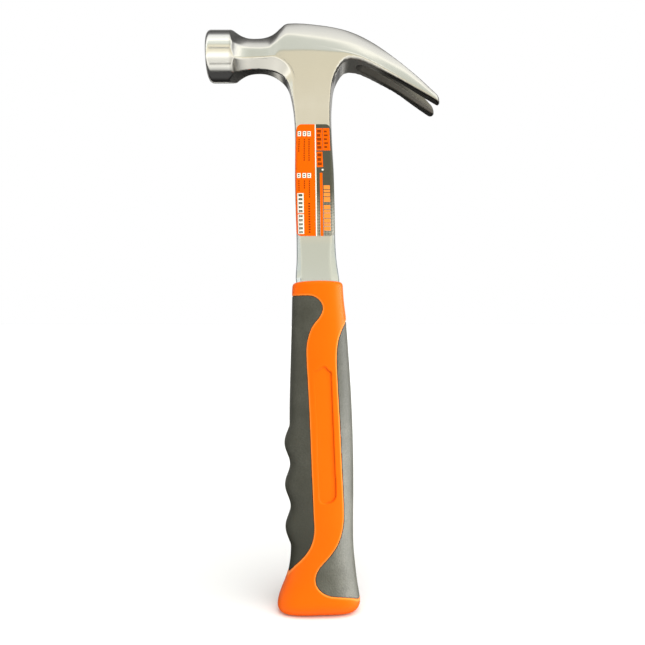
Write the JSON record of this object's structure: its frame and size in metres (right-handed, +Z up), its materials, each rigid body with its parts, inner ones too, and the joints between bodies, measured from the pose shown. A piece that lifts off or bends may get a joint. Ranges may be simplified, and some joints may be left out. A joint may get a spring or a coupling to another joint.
{
  "type": "claw hammer",
  "caption": "One-piece forged claw hammer: round bell, curved split claw, bevelled shank and an overmoulded two-colour grip with finger grooves.",
  "frame": {"origin": "middle of the object's footprint, on the plane that the butt rests on", "axes": "+Z up along the handle from the butt to the head, -X towards the striking face, +X towards the claw, Y across the thickness"},
  "size_m": [0.1294, 0.0288, 0.33],
  "materials": {
    "steel": "polished forging",
    "grip_plastic": "satin moulded",
    "grip_rubber": "matt moulded",
    "label_film": "printed film"
  },
  "bodies": {
    "root": {"hammer_forging": "steel", "grip_core": "grip_plastic", "front_grip_pad": "grip_rubber", "rear_grip_pad": "grip_rubber", "shank_label": "label_film"}
  },
  "joints": []
}
